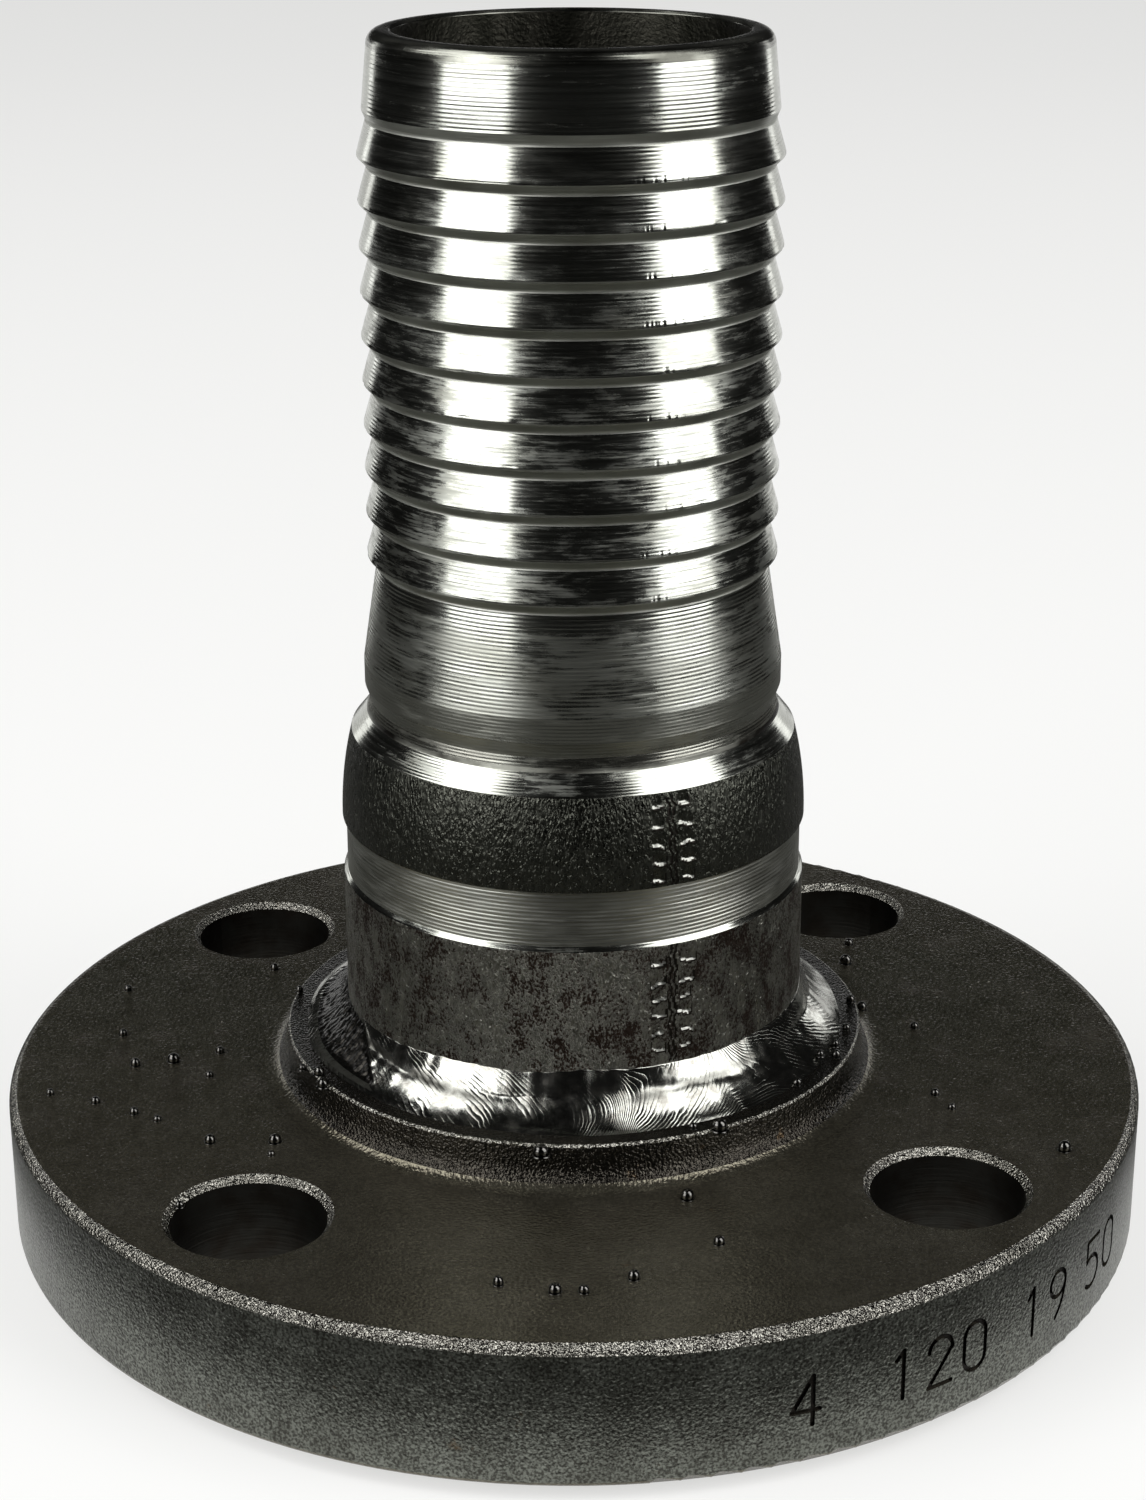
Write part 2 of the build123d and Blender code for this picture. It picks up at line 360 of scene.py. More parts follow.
# %% Mesh of the weld
top_places = (-180, -120, -61, -47, -34, -23, -12, 3, 13, 38, 52, 70, 120, 180)
top_shift = (0.0, -0.4, -1.1, -0.9, -0.5, -0.35, -0.5, 0.15, -0.2, -0.2, 0.0, -0.2, 0.1, 0.0)
toe_shift = 0.28 * np.sin(np.radians(seen) * 7) * np.cos(np.radians(seen) * 3 + 1)
toe_radius = WELD_TOE + toe_shift
peak = HUB_TOP + WELD_RISE + np.interp(seen, top_places, top_shift)
peak += np.array([0.13 * noise.noise(Vector((a * 0.35, 0, 0))) for a in seen])
run = toe_radius - (PIPE_RADIUS - 0.02)
edge_fade = np.clip(up / 0.06, 0, 1) * np.clip((1 - up) / 0.05, 0, 1)
push = ripple * edge_fade - WELD_HOLLOW * 4 * up * (1 - up)
face_r = toe_radius - run * up + 0.728 * push
face_z = HUB_TOP + (peak - HUB_TOP) * up + 0.686 * push
face_z[0] = HUB_TOP - 0.01
inner_r = np.full((2, SPOKES), PIPE_RADIUS - 0.3)
inner_z = np.stack((peak - 0.2, np.full(SPOKES, HUB_TOP - 0.1)))
hub_weld = spun_mesh(
    "hub_weld_runs",
    np.concatenate((face_r, inner_r)),
    np.concatenate((face_z, inner_z)),
    weld_azimuths,
)
toe_edges = [edge for edge in hub_weld.data.edges if max(edge.vertices) < SPOKES]
for edge in toe_edges:
    edge.use_edge_sharp = True
phase_layer = hub_weld.data.attributes.new("ripple_phase", "FLOAT", "POINT")
phase_layer.data.foreach_set("value", np.concatenate((phase, phase[:2])).ravel().astype(np.float32))
strength_layer = hub_weld.data.attributes.new("ripple_strength", "FLOAT", "POINT")
strong = np.clip(0.3 + 1.3 * patchy + 0.15 * crescent, 0.0, 1.0) * (1 - tack)
strong *= 1 - 0.8 * np.exp(-(((around_weld + 3) / 12) ** 2))
strength_layer.data.foreach_set("value", np.concatenate((strong, strong[:2])).ravel().astype(np.float32))
# A slanting band over the left run and along the right one is painted darker and made duller: painted shade between
# the highlights of the runs.
dark_band_up = np.interp(around_weld, (-66, -18, 12, 44), (0.84, 0.45, 0.55, 0.7))
dark_band_amount = np.interp(
    around_weld, (-70, -62, -25, -14, 8, 16, 44, 52), (0, 1, 1, 0.3, 0.2, 0.8, 0.6, 0))
smear = dark_band_amount * np.exp(-(((up - dark_band_up) / 0.09) ** 2)) * np.clip(0.85 + patchy, 0.4, 1)
dark_band_layer = hub_weld.data.attributes.new("painted_dark_band", "FLOAT", "POINT")
dark_band_layer.data.foreach_set("value", np.concatenate((smear, smear[:2])).ravel().astype(np.float32))
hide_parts("hub_weld")
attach(hub_weld, "root")

# %% [markdown]
# ## Weld spatter
# Drops of molten steel fly off the arc and freeze where they land, as tiny dark mirror
# balls, half sunk or sitting on a thin ring. Only a few dozen are there, each one noticed
# because of its glint, so they are placed one by one and joined into a single piece.

# %% Spatter beads
FLANGE_TOP = 20.25
# x, y and height of the surface under each bead, and its diameter, in millimetres
BEADS = [
    (-61.4, 23.0, 20.25, 0.8), (-61.1, 8.5, 20.25, 0.9), (-58.8, -0.9, 20.25, 1.0),
    (-53.8, -0.1, 20.25, 1.3), (-47.7, 2.1, 20.25, 0.9), (-48.8, -5.0, 20.25, 0.8),
    (-69.4, -8.5, 20.25, 0.8), (-63.3, -11.3, 20.25, 0.9), (-58.1, -14.8, 20.25, 0.9),
    (-55.0, -17.0, 20.25, 0.8), (-48.0, -23.5, 20.25, 1.1), (-39.8, -24.2, 20.25, 1.2),
    (-40.2, -27.6, 20.25, 0.7), (-40.9, 28.4, 20.25, 0.9), (-36.9, 9.1, 25.6, 0.8),
    (-51.0, -39.7, 20.25, 0.8), (-36.3, -13.2, 24.9, 0.8), (-34.1, -16.3, 25.6, 1.1),
    (-33.6, -19.0, 25.3, 1.2), (42.7, 30.2, 20.25, 1.0), (41.1, 23.6, 20.25, 1.3),
    (37.6, -0.3, 25.6, 0.9), (40.8, 8.2, 20.25, 1.1), (35.6, -8.8, 25.6, 0.8),
    (33.3, -13.8, 25.7, 0.8), (32.9, -16.7, 25.6, 1.0), (30.7, -17.5, 26.2, 0.8),
    (47.0, 1.9, 20.25, 0.9), (45.9, -18.1, 20.25, 0.9), (47.3, -22.2, 20.25, 0.8),
    (59.1, -34.5, 20.25, 1.3), (26.7, -24.2, 25.6, 0.9), (-13.5, -60.9, 20.25, 1.0),
    (-7.1, -63.1, 20.25, 1.2), (-3.8, -63.4, 20.25, 1.0), (2.2, -60.9, 20.25, 1.1),
    (13.0, -53.8, 20.25, 1.1), (10.5, -42.8, 20.25, 1.3), (-7.0, -38.1, 24.5, 1.5),
    (15.3, -35.2, 25.5, 1.5), (12.1, -34.9, 25.6, 0.8),
]


def bead_rings(diameter, stretch):
    """Radius and height pairs of one bead, from its spread foot to the top of its ball."""
    radius = 0.65 * diameter
    rings = [(radius * 1.35, -0.08), (radius * 1.05, 0.03), (radius * 0.8, 0.1 * radius)]
    for degrees in range(-35, 90, 12):
        out, rise = math.cos(math.radians(degrees)), math.sin(math.radians(degrees))
        rings.append((radius * out, radius * (0.62 + rise) * stretch))
    return rings


bead_places, bead_faces = [], []
for x, y, surface, diameter in BEADS:
    first = len(bead_places)
    rings = bead_rings(diameter, rng.uniform(0.8, 1.0))
    squash, turn = rng.uniform(0.88, 1.0), rng.uniform(0, math.pi)
    for radius, rise in rings:
        for step in range(20):
            angle = step * math.pi / 10
            px, py = radius * math.cos(angle), radius * squash * math.sin(angle)
            bead_places.append((
                (x + px * math.cos(turn) - py * math.sin(turn)) * MM,
                (y + px * math.sin(turn) + py * math.cos(turn)) * MM,
                (surface + rise) * MM,
            ))
    for ring in range(len(rings) - 1):
        for step in range(20):
            low, high, beside = first + ring * 20, first + ring * 20 + 20, (step + 1) % 20
            bead_faces.append((low + step, low + beside, high + beside, high + step))
    bead_faces.append(tuple(first + (len(rings) - 1) * 20 + step for step in range(20)))
    bead_faces.append(tuple(first + step for step in reversed(range(20))))
bead_mesh = bpy.data.meshes.new("weld_spatter")
bead_mesh.from_pydata(bead_places, [], bead_faces)
bead_mesh.shade_smooth()
weld_spatter = bpy.data.objects.new("weld_spatter", bead_mesh)
bpy.context.scene.collection.objects.link(weld_spatter)
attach(weld_spatter, "root")
print("spatter beads:", len(BEADS))

# %% [markdown]
# ## Node helpers
# Every finish below is a small network of nodes. One function adds a node, sets it and
# plugs in what it is given. Colours are written as they look on a screen, in hex, and one
# function turns them into the linear values that a renderer works with.

# %% Colour and node helpers
def linear(code):
    """Linear RGBA from an sRGB hex colour."""
    channels = [int(code[i:i + 2], 16) / 255 for i in (1, 3, 5)]
    return (*[c / 12.92 if c <= 0.04045 else ((c + 0.055) / 1.055) ** 2.4 for c in channels], 1.0)


def add(finish, kind, inputs=None, take=None, **settings):
    """Adds a node to a finish and returns its first output that is in use, or the output
    named by take. inputs maps a socket's name or number to a value or to another node's
    output."""
    node = finish.node_tree.nodes.new(kind)
    for name, value in settings.items():
        setattr(node, name, value)
    for name, value in (inputs or {}).items():
        if isinstance(name, int):
            socket = [s for s in node.inputs if s.enabled][name]
        else:
            socket = next(s for s in node.inputs if s.name == name and s.enabled)
        if isinstance(value, bpy.types.NodeSocket):
            finish.node_tree.links.new(value, socket)
        else:
            socket.default_value = value
    return next((s for s in node.outputs if s.enabled and take in (None, s.name)), None)


def new_finish(name):
    """An empty material with nodes."""
    finish = bpy.data.materials.new(name)
    finish.use_nodes = True
    finish.node_tree.nodes.clear()
    return finish


def place(finish, across, along):
    """The point on the object, stretched so that one unit is this many mm across and up."""
    point = add(finish, "ShaderNodeTexCoord", take="Object")
    scale = (1 / (across * MM), 1 / (across * MM), 1 / (along * MM))
    return add(finish, "ShaderNodeVectorMath", {0: point, 1: scale}, operation="MULTIPLY")


def speckle(finish, across, along, detail=2.0, roughness=0.5, distortion=0.0):
    """Noise from 0 to 1, whose grains are this many mm across and along the height."""
    return add(
        finish, "ShaderNodeTexNoise",
        {"Vector": place(finish, across, along), "Scale": 1.0, "Detail": detail,
         "Roughness": roughness, "Distortion": distortion},
    )


def fit_range(finish, value, low, high, to_low=0.0, to_high=1.0):
    """Stretches the part of a value between low and high to a new range, and clips it."""
    return add(
        finish, "ShaderNodeMapRange",
        {"Value": value, "From Min": low, "From Max": high, "To Min": to_low, "To Max": to_high},
    )


def math_node(finish, operation, a, b=None):
    """One value changed, or two put together."""
    inputs = {0: a} if b is None else {0: a, 1: b}
    return add(finish, "ShaderNodeMath", inputs, operation=operation)


def blend_colour(finish, amount, first, second):
    """A colour between two, by an amount from 0 to 1."""
    return add(finish, "ShaderNodeMix", {"Factor": amount, "A": first, "B": second}, data_type="RGBA")


def bumped(finish, height, depth, under=None):
    """A surface normal that follows a height from 0 to 1, as if it were depth mm deep."""
    inputs = {"Height": height, "Distance": depth * MM, "Strength": 1.0}
    if under is not None:
        inputs["Normal"] = under
    return add(finish, "ShaderNodeBump", inputs)


def steel(finish, colour, roughness, normal, anisotropic=0.0, turned=False, metallic=1.0):
    """Closes a finish with the metal shader."""
    inputs = {"Base Color": colour, "Roughness": roughness, "Normal": normal,
              "Metallic": metallic, "Anisotropic": anisotropic}
    if turned:
        # Tool lines run round the part, and a highlight smears across them, so upwards
        inputs["Tangent"] = add(finish, "ShaderNodeTangent", direction_type="RADIAL", axis="Z")
        inputs["Anisotropic Rotation"] = 0.25
    surface = add(finish, "ShaderNodeBsdfPrincipled", inputs)
    add(finish, "ShaderNodeOutputMaterial", {"Surface": surface})


# %% [markdown]
# ## Turned steel
# Carbon steel cut on a lathe is bright grey. The tool leaves fine rings about a quarter of
# a millimetre apart, so a highlight is crisp from side to side but smears up and down:
# that is anisotropic gloss. Oil and handling leave dull, smeary patches, and these matter
# as much as the polish, because they are what shows where the steel mirrors a dark room.

# %% Turned finishes
def turned_steel(name, pitch, depth, smear, roughness, dull, cover, colour="#b9bbb3",
                 clean_from=None, fade=0.8):
    """Turned carbon steel. pitch is the distance of the tool lines in mm and depth theirs,
    smear how far a highlight is drawn out along the part, roughness the clean metal's,
    dull the smeary patches', and cover how much of the surface they take. clean_from is the
    height in mm above which there are none."""
    finish = new_finish(name)
    up = add(finish, "ShaderNodeSeparateXYZ", {0: place(finish, 1, pitch)}, take="Z")
    wave = math_node(finish, "SINE", math_node(finish, "MULTIPLY", up, 2 * math.pi))
    uneven = fit_range(finish, speckle(finish, 14, 0.9, detail=3, roughness=0.6), 0.35, 0.65, 0.25, 0.6)
    rings = speckle(finish, 30, pitch * 0.8, detail=2, roughness=0.5)
    lines = math_node(finish, "ADD", math_node(finish, "MULTIPLY", wave, uneven), rings)
    blotches = speckle(finish, 7, 1.9, detail=6, roughness=0.66, distortion=0.4)
    streaks = speckle(finish, 5, 0.24, detail=4, roughness=0.65)
    worn = math_node(finish, "ADD", blotches, math_node(finish, "MULTIPLY", streaks, 0.7))
    start = 0.98 - 0.3 * cover
    worn = fit_range(finish, worn, start, start + 0.2)
    if clean_from is not None:
        level = add(finish, "ShaderNodeSeparateXYZ", {0: place(finish, 1, 1)}, take="Z")
        ragged = math_node(finish, "MULTIPLY", speckle(finish, 5, 1.6, detail=6, roughness=0.7), 6)
        level = math_node(finish, "ADD", level, ragged)
        kept = fit_range(finish, level, clean_from + 3, clean_from + 3 + fade, 1, 0.1)
        worn = math_node(finish, "MULTIPLY", worn, kept)
    gloss = math_node(finish, "MULTIPLY", worn, dull - roughness)
    gloss = math_node(finish, "ADD", gloss, roughness)
    gloss = math_node(finish, "ADD", gloss, fit_range(finish, rings, 0.3, 0.7, -0.03, 0.05))
    stain = speckle(finish, 9, 4, detail=4)
    base = blend_colour(finish, fit_range(finish, stain, 0.4, 0.7), linear(colour), linear("#a0a198"))
    normal = bumped(finish, lines, depth)
    steel(finish, base, gloss, normal, anisotropic=smear, turned=True)
    return finish


shank_finishes = {
    "barbs": turned_steel("turned_steel_barbs", 0.45, 0.016, 0.45, 0.16, 0.4, 0.6,
                          clean_from=108, fade=42),
    "bevel": turned_steel("turned_steel_bevel", 0.3, 0.01, 0.3, 0.3, 0.44, 0.6),
    # The roots of the barbs have small real fillets and take a paler copy of the turned steel: a painted highlight.
    "root": turned_steel("root_steel_painted_bright", 0.3, 0.006, 0.0, 0.42, 0.5, 0.6, "#d8dad2"),
    "land": turned_steel("turned_steel_land", 0.5, 0.014, 0.45, 0.18, 0.36, 0.25),
    "cone": turned_steel("turned_steel_cone", 0.5, 0.028, 0.6, 0.2, 0.36, 0.9,
                         clean_from=86.6),
    "collar": turned_steel("turned_steel_collar", 0.45, 0.02, 0.6, 0.28, 0.44, 0.5, "#9c9d95"),
    "band": turned_steel("turned_steel_band", 0.52, 0.06, 0.6, 0.32, 0.46, 0.6, "#b0b1aa"),
    "chamfer": turned_steel("turned_steel_chamfer", 0.3, 0.006, 0.3, 0.14, 0.38, 0.3),
    "neck": turned_steel("turned_steel_neck", 0.4, 0.012, 0.4, 0.22, 0.42, 0.5, "#a3a299"),
    # The small groove at the foot of the neck is painted near black: painted shade in the corner, over a real small
    # step.
    "groove": turned_steel("painted_shade_groove", 0.4, 0.012, 0.0, 0.4, 0.5, 0.6, "#24211d"),
    # The rounded mouth and the end face take a much darker copy of the turned steel: painted shade, standing in for
    # a dark reflection.
    "mouth": turned_steel("mouth_steel_painted_dark", 0.4, 0.012, 0.3, 0.2, 0.34, 0.3, "#55554f"),
}
for name, same_as in (("lead", "collar"), ("step", "chamfer")):
    shank_finishes[name] = shank_finishes[same_as]

# %% [markdown]
# ## Mill skin
# Pipe comes from the rolling mill with a dark, dense oxide skin. It was left on where the
# tool did not reach: on the shoulder and low on the body. The skin is a tight, satin
# grey-black with fine wrinkles drawn along the pipe, and brown specks where it has
# flaked or begun to rust.

# %% Mill skin finishes
def mill_skin(name, colour, light, fleck_cover, wrinkle_depth, low, high):
    """Rolled pipe skin: a satin oxide with upright wrinkles and reddish brown flecks. low and
    high are the ends of its roughness."""
    finish = new_finish(name)
    wrinkles = speckle(finish, 0.36, 0.85, detail=2, roughness=0.55, distortion=0.6)
    pores = speckle(finish, 0.3, 0.42, detail=4, roughness=0.72)
    clusters = speckle(finish, 2.6, 4.0, detail=3)
    flecks = math_node(finish, "ADD", pores, math_node(finish, "MULTIPLY", clusters, 0.6))
    flecks = fit_range(finish, flecks, 1.04 - fleck_cover, 1.16 - fleck_cover)
    tone = fit_range(finish, speckle(finish, 0.8, 1.6, detail=6, roughness=0.7), 0.3, 0.7)
    base = blend_colour(finish, tone, linear(colour), linear(light))
    base = blend_colour(finish, flecks, base, linear("#352c27"))
    gloss = fit_range(finish, speckle(finish, 1.2, 2.0, detail=4), 0.3, 0.7, low, high)
    gloss = math_node(finish, "ADD", gloss, math_node(finish, "MULTIPLY", flecks, 0.15))
    height = math_node(finish, "SUBTRACT", wrinkles, math_node(finish, "MULTIPLY", flecks, 0.5))
    steel(finish, base, gloss, bumped(finish, height, wrinkle_depth))
    return finish


shank_finishes["shoulder_skin"] = mill_skin(
    "mill_skin_shoulder", "#3e3f39", "#5a5b54", 0.0, 0.24, 0.18, 0.32)
shank_finishes["pipe_skin"] = mill_skin(
    "mill_skin_body", "#64645e", "#93938a", 0.28, 0.34, 0.26, 0.42)

# %% [markdown]
# ## Inside the bore
# The bore is the pipe's own inner skin: dull, dark and grainy with scale.

# %% Bore finish
bore_finish = new_finish("scaled_bore")
bore_grain = speckle(bore_finish, 0.55, 0.55, detail=3, roughness=0.6)
bore_tone = fit_range(bore_finish, speckle(bore_finish, 4, 9, detail=4), 0.35, 0.65)
bore_colour = blend_colour(bore_finish, bore_tone, linear("#24241f"), linear("#3b3a34"))
steel(bore_finish, bore_colour, 0.45, bumped(bore_finish, bore_grain, 0.2))
shank_finishes["bore"] = bore_finish

bared_steel = new_finish("bared_jaw_ledge")
bared_grain = speckle(bared_steel, 0.4, 0.2, detail=3)
bared_colour = blend_colour(bared_steel, bared_grain, linear("#c2c3bc"), linear("#7d7d77"))
steel(bared_steel, bared_colour, 0.38, bumped(bared_steel, bared_grain, 0.03))

painted_bite_shade = new_finish("painted_bite_shade")
bite_shade_grain = speckle(painted_bite_shade, 0.5, 0.5, detail=3)
bite_shade_colour = blend_colour(painted_bite_shade, bite_shade_grain, linear("#1d1b19"), linear("#3a3632"))
steel(painted_bite_shade, bite_shade_colour, 0.4, bumped(painted_bite_shade, bite_shade_grain, 0.08))

slots = []
for finish in shank_finishes.values():
    if finish not in slots:
        slots.append(finish)
        hose_shank.data.materials.append(finish)
finish_of_ring = [slots.index(shank_finishes[finish]) for finish in finishes]
finish_of_face = np.repeat(finish_of_ring, len(azimuths)).reshape(radii.shape)
# The marked faces in and around the bites take the near-black painted shade, and the ledges take bared steel.
finish_of_face[shadowed | cut] = len(slots) + 1
finish_of_face[ledges] = len(slots)
hose_shank.data.materials.append(bared_steel)
hose_shank.data.materials.append(painted_bite_shade)
hose_shank.data.polygons.foreach_set("material_index", finish_of_face.ravel())
print("finishes on the shank:", [finish.name for finish in slots])

# %% [markdown]
# ## Forged and blasted flange
# The flange was forged hot, then blasted clean with steel grit, which leaves a fine
# pebbled skin, dark and slightly brown under oil. On a flat face the pebbles only dull it.
# On a rounded edge each one mirrors a lamp, so the same bump turns into sparkle there.

# %% Flange finishes
def forged_skin(name, dark, light, grain, depth, low, high, bare, pits=0.45):
    """Blasted forging. grain is the width of a pebble in mm, low and high the ends of its
    roughness, bare how much of it is metal and not thin oxide, and pits how dark its pits are."""
    finish = new_finish(name)
    pebbles = speckle(finish, grain, grain, detail=1, roughness=0.5)
    tone = fit_range(finish, speckle(finish, 6, 6, detail=6, roughness=0.65), 0.35, 0.68)
    fine_tone = fit_range(finish, speckle(finish, grain * 0.8, grain * 0.8, detail=2), 0.4, 0.6)
    base = blend_colour(finish, tone, linear(dark), linear(light))
    base = blend_colour(finish, math_node(finish, "MULTIPLY", fine_tone, pits), base, linear("#26221f"))
    rust = fit_range(finish, speckle(finish, 5, 5, detail=5, roughness=0.7), 0.65, 0.72, 0, 0.55)
    base = blend_colour(finish, rust, base, linear("#5a4832"))
    gloss = fit_range(finish, tone, 0.0, 1.0, low, high)
    steel(finish, base, gloss, bumped(finish, pebbles, depth), metallic=bare)
    return finish


forging = forged_skin("blasted_forging", "#686456", "#777365", 0.45, 0.1, 0.2, 0.28, 0.87)
forged_edge = forged_skin("blasted_edge", "#8a8880", "#a9a79f", 0.36, 0.42, 0.14, 0.22, 1.0)
# The hub's wall and the fillet at its foot take a darker copy of the forging: painted shade in the corner.
shaded_hub_corner = forged_skin("painted_shade_hub_corner", "#34322d", "#423f39", 0.36, 0.26, 0.16, 0.24, 0.95)
rim_skin = forged_skin("blasted_rim", "#6b6d66", "#888b83", 0.42, 0.12, 0.3, 0.38, 1.0, 0.75)

drilled = new_finish("drilled_wall")
drill_rings = speckle(drilled, 8, 0.35, detail=2)
drill_tone = fit_range(drilled, speckle(drilled, 3, 3, detail=4), 0.4, 0.65)
drill_colour = blend_colour(drilled, drill_tone, linear("#3d3c38"), linear("#34302b"))
steel(drilled, drill_colour, 0.4, bumped(drilled, drill_rings, 0.03))

faced = new_finish("faced_gasket_face")
reach = add(faced, "ShaderNodeVectorMath", {0: place(faced, 1, 1e6)}, "Value", operation="LENGTH")
GROOVE_PITCH = 0.8  # the spiral groove that grips a gasket
groove = math_node(faced, "SINE", math_node(faced, "MULTIPLY", reach, 2 * math.pi / GROOVE_PITCH))
steel(faced, linear("#9a9995"), 0.32, bumped(faced, groove, 0.02))

flange = nodes["flange"]
flange.data.materials.clear()
stamped = new_finish("stamped_number")
stamp_grain = speckle(stamped, 0.5, 0.5, detail=2)
stamp_colour = blend_colour(stamped, stamp_grain, linear("#23211f"), linear("#35322e"))
steel(stamped, stamp_colour, 0.5, bumped(stamped, stamp_grain, 0.05))
for finish in (forging, rim_skin, drilled, faced, forged_edge, shaded_hub_corner, stamped):
    flange.data.materials.append(finish)
BOLT_CIRCLE = 60.325
BOLT_HOLE = 9.525
hole_centres = [around(BOLT_CIRCLE, 45 + 90 * k, 0).xy for k in range(4)]
zones = []
for face in flange.data.polygons:
    centre, flat = face.center, abs(face.normal.z)
    reach_mm = centre.xy.length / MM
    height_mm = centre.z / MM
    from_hole = min((centre.xy - hole).length for hole in hole_centres) / MM
    if from_hole < BOLT_HOLE + 0.02 and flat < 0.2:
        zones.append(2)
    elif from_hole < BOLT_HOLE + 0.95 and flat < 0.9 or height_mm > 25.15 and flat < 0.98:
        zones.append(4)
    elif reach_mm > 73.7 and height_mm > 18.6 and 0.15 < flat < 0.97:
        zones.append(4)
    elif height_mm < 0.01 or reach_mm < 31:
        zones.append(3)
    # Zone 5, the hub's wall and foot fillet, takes the painted shade.
    elif height_mm > 20.95 and reach_mm < 42:
        zones.append(5)
    elif 74.6 < reach_mm < 75.2 and 5 < height_mm < 15 and flat < 0.9:
        zones.append(6)
    elif reach_mm > 74.6 and flat < 0.3:
        zones.append(1)
    else:
        zones.append(0)
flange.data.polygons.foreach_set("material_index", zones)
print("flange faces by finish:", np.bincount(zones).tolist())

# %% [markdown]
# ## Weld metal
# The weld's face is bare steel that froze fast, bright with a little straw colour where it
# stayed hot longest. Fine striations follow the ripples. Spatter is the same metal,
# darker, because the small drops oxidise all over.

# %% Weld finishes
weld_finish = new_finish("weld_bead_steel")
striations = speckle(weld_finish, 0.35, 1.2, detail=4, roughness=0.6, distortion=0.8)
weld_dull = fit_range(weld_finish, speckle(weld_finish, 2.2, 1.6, detail=5, roughness=0.65), 0.4, 0.68)
weld_colour = blend_colour(weld_finish, weld_dull, linear("#b4b5ae"), linear("#8b8982"))
weld_gloss = fit_range(weld_finish, weld_dull, 0, 1, 0.1, 0.22)
# The marked band darkens the weld's colour and raises its roughness: painted shade.
dark_band_value = add(weld_finish, "ShaderNodeAttribute", take="Fac", attribute_name="painted_dark_band")
weld_colour = blend_colour(weld_finish, dark_band_value, weld_colour, linear("#54534e"))
weld_gloss = math_node(weld_finish, "ADD", weld_gloss, math_node(weld_finish, "MULTIPLY", dark_band_value, 0.22))
phase_value = add(weld_finish, "ShaderNodeAttribute", take="Fac", attribute_name="ripple_phase")
strong_value = add(weld_finish, "ShaderNodeAttribute", take="Fac", attribute_name="ripple_strength")
wobble = math_node(weld_finish, "MULTIPLY", speckle(weld_finish, 1.6, 1.6, detail=3), 0.7)
angle = math_node(weld_finish, "ADD", phase_value, wobble)
angle = math_node(weld_finish, "MULTIPLY", angle, math.pi * 1.5)
scallop = math_node(weld_finish, "ABSOLUTE", math_node(weld_finish, "SINE", angle))
scallop = math_node(weld_finish, "POWER", scallop, 0.5)
scallop = math_node(weld_finish, "MULTIPLY", scallop, strong_value)
fine_lines = math_node(weld_finish, "ADD", scallop, math_node(weld_finish, "MULTIPLY", striations, 0.2))
steel(weld_finish, weld_colour, weld_gloss, bumped(weld_finish, fine_lines, 0.042))
hub_weld.data.materials.append(weld_finish)

tack_finish = new_finish("tack_weld_scale")
tack_grain = speckle(tack_finish, 0.6, 0.6, detail=3, roughness=0.6)
tack_colour = blend_colour(tack_finish, tack_grain, linear("#1f1e1c"), linear("#3d3b37"))
steel(tack_finish, tack_colour, 0.26, bumped(tack_finish, tack_grain, 0.1))
hub_weld.data.materials.append(tack_finish)
under_tack = np.zeros((FACE_ROWS + 2, SPOKES), dtype=int)
under_tack[:FACE_ROWS] = tack > 0.5
hub_weld.data.polygons.foreach_set("material_index", under_tack.ravel())

face_weld = nodes["face_weld"]
face_weld.data.materials.clear()
face_weld.data.materials.append(weld_finish)

spatter_finish = new_finish("spatter_steel")
spatter_tone = speckle(spatter_finish, 0.5, 0.5, detail=2)
spatter_colour = blend_colour(spatter_finish, spatter_tone, linear("#4c4b49"), linear("#6b6a67"))
steel(spatter_finish, spatter_colour, 0.14, bumped(spatter_finish, spatter_tone, 0.02))
weld_spatter.data.materials.append(spatter_finish)
print("materials:", len(bpy.data.materials))

# %% [markdown]
# ## Floor, lamps and drapes
# Polished steel has hardly any colour of its own: it shows the room. The picture has two
# large soft boxes, one at each side, and dark surroundings, which give the crisp white
# stripes on dark metal. The floor is pale. Black drapes, seen only in reflections, stand
# for the dark studio, as a photographer sets black cards around silverware.

# %% Floor and world
def flat_disc(name, outer, inner, height, start=0.0, end=360.0):
    """A flat ring or part of one, in metres, for the stage."""
    turns = np.radians(np.linspace(start, end, 97))
    rings = [(r * math.cos(t), r * math.sin(t), height) for r in (inner, outer) for t in turns]
    quads = [(k, k + 1, 97 + k + 1, 97 + k)[::-1] for k in range(96)]
    mesh = bpy.data.meshes.new(name)
    mesh.from_pydata(rings, [], quads)
    piece = bpy.data.objects.new(name, mesh)
    bpy.context.scene.collection.objects.link(piece)
    return piece


floor = flat_disc("floor", 12.0, 0.0, 0.0)
floor_finish = new_finish("pale_floor")
light_path = add(floor_finish, "ShaderNodeLightPath")
paths = {s.name: s for s in floor_finish.node_tree.nodes[-1].outputs}
shown = math_node(floor_finish, "MAXIMUM", paths["Is Camera Ray"], paths["Is Glossy Ray"])
shown = math_node(floor_finish, "MAXIMUM", shown, paths["Is Transmission Ray"])
paper = add(floor_finish, "ShaderNodeBsdfDiffuse", {"Color": linear("#9a9a99")})
glow = add(floor_finish, "ShaderNodeEmission", {
    "Color": linear("#f4f4f3"), "Strength": math_node(floor_finish, "MULTIPLY", shown, 0.68)})
both = add(floor_finish, "ShaderNodeAddShader", {0: paper, 1: glow})
add(floor_finish, "ShaderNodeOutputMaterial", {"Surface": both})
floor.data.materials.append(floor_finish)

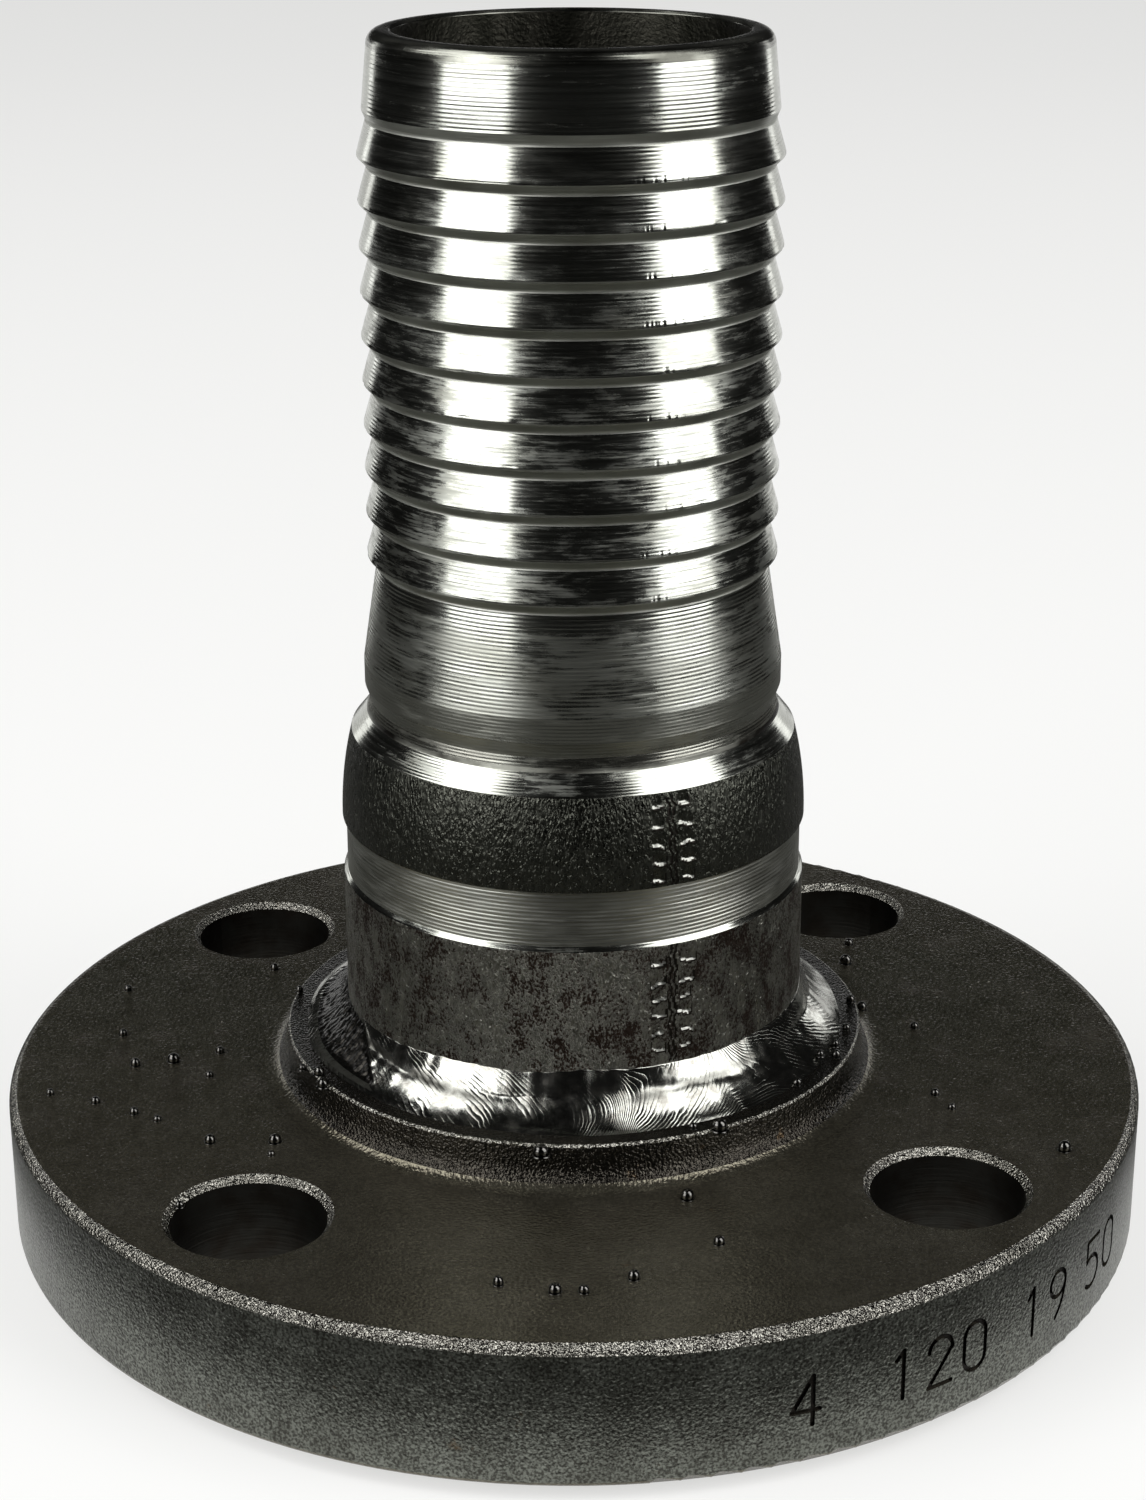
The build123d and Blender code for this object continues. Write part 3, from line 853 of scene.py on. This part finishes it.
world = bpy.data.worlds.new("studio")
bpy.context.scene.world = world
world.use_nodes = True
world.node_tree.nodes.clear()
add(world, "ShaderNodeLightPath")
paths = {s.name: s for s in world.node_tree.nodes[-1].outputs}
shown = math_node(world, "MAXIMUM", paths["Is Camera Ray"], paths["Is Glossy Ray"])
shown = math_node(world, "MAXIMUM", shown, paths["Is Transmission Ray"])
level = fit_range(world, shown, 0.0, 1.0, 0.3, 0.9)
sky = add(world, "ShaderNodeBackground", {"Color": linear("#f6f6f5"), "Strength": level})
add(world, "ShaderNodeOutputWorld", {"Surface": sky})


# %% Drapes and soft boxes
def seen_in_reflections_only(piece):
    """A drape darkens reflections, but throws no shadow and stays out of the picture."""
    piece.visible_camera = False
    piece.visible_diffuse = False
    piece.visible_transmission = False
    piece.visible_shadow = False
    piece.visible_volume_scatter = False


drape_cloth = new_finish("black_drape")
weave = fit_range(drape_cloth, speckle(drape_cloth, 90, 90, detail=2), 0.3, 0.7)
cloth_colour = blend_colour(drape_cloth, weave, linear("#1c1c1c"), linear("#242423"))
cloth = add(drape_cloth, "ShaderNodeBsdfDiffuse", {"Color": cloth_colour})
add(drape_cloth, "ShaderNodeOutputMaterial", {"Surface": cloth})


def hung_drape(name, start, end, low, high, distance=1.5):
    """A drape hung round the set, between two directions in degrees from the camera's."""
    turns = np.radians(VIEW_AZIMUTH + np.linspace(start, end, 61))
    places = [(distance * math.cos(t), distance * math.sin(t), z) for z in (low, high) for t in turns]
    quads = [(k, k + 1, 61 + k + 1, 61 + k) for k in range(60)]
    mesh = bpy.data.meshes.new(name)
    mesh.from_pydata(places, [], quads)
    piece = bpy.data.objects.new(name, mesh)
    bpy.context.scene.collection.objects.link(piece)
    return piece


mat_cloth = new_finish("grey_mat")
nap = fit_range(mat_cloth, speckle(mat_cloth, 12, 12, detail=2), 0.3, 0.7)
mat_colour = blend_colour(mat_cloth, nap, linear("#565654"), linear("#5e5e5b"))
mat_surface = add(mat_cloth, "ShaderNodeBsdfDiffuse", {"Color": mat_colour})
add(mat_cloth, "ShaderNodeOutputMaterial", {"Surface": mat_surface})
mat = flat_disc("grey_mat", 0.36, 0.086, 0.0006)
mat.data.materials.append(mat_cloth)
seen_in_reflections_only(mat)

drapes = [
    hung_drape("front_drape", -145, 145, 0.0, 2.4),
    hung_drape("back_drape", 145, 215, 0.22, 2.4),
    flat_disc("ceiling_drape", 1.5, 0.0, 2.4),
    flat_disc("floor_drape", 1.5, 0.35, 0.0004, VIEW_AZIMUTH - 145, VIEW_AZIMUTH + 145),
]
back_cloth = new_finish("grey_back_cloth")
back_height = add(back_cloth, "ShaderNodeSeparateXYZ", {0: place(back_cloth, 1, 1)}, take="Z")
back_tone = blend_colour(back_cloth, fit_range(back_cloth, back_height, 600, 900),
                         linear("#2a2a29"), linear("#5b5b59"))
back_surface = add(back_cloth, "ShaderNodeBsdfDiffuse", {"Color": back_tone})
add(back_cloth, "ShaderNodeOutputMaterial", {"Surface": back_surface})
for drape in drapes:
    drape.data.materials.append(back_cloth if drape.name == "back_drape" else drape_cloth)
    seen_in_reflections_only(drape)


def soft_box(name, side, distance, width, low, high, nod, radiance):
    """A tall soft box that faces the object. side is in degrees from the camera's direction,
    nod is how far its top leans in over the object, in degrees, and the rest is in metres."""
    lamp = bpy.data.lights.new(name, "AREA")
    lamp.shape = "RECTANGLE"
    lamp.size = width
    lamp.size_y = high - low
    lamp.energy = radiance * math.pi * width * (high - low)
    piece = bpy.data.objects.new(name, lamp)
    bpy.context.scene.collection.objects.link(piece)
    out = around(1000 * distance, VIEW_AZIMUTH + side, 0)
    piece.location = out + Vector((0, 0, (low + high) / 2))
    facing = (-out).to_track_quat("-Z", "Y")
    piece.rotation_euler = (facing @ Quaternion((1, 0, 0), math.radians(-nod))).to_euler()
    piece.visible_camera = False
    return piece


soft_box("left_box", -53.8, 0.92, 0.68, 0.1, 0.76, 6, 3.6)
soft_box("left_top_box", -80, 0.86, 1.1, 0.78, 1.55, 25, 3.6)
soft_box("right_box", 67, 0.92, 0.74, 0.02, 1.5, 28, 3.6)
soft_box("rear_left_box", -142, 1.2, 0.14, 0.02, 0.4, 0, 1.8)
soft_box("rear_right_box", 142, 1.2, 0.14, 0.02, 0.4, 0, 1.8)

# %% Colour transform
bpy.context.scene.view_settings.view_transform = "Standard"
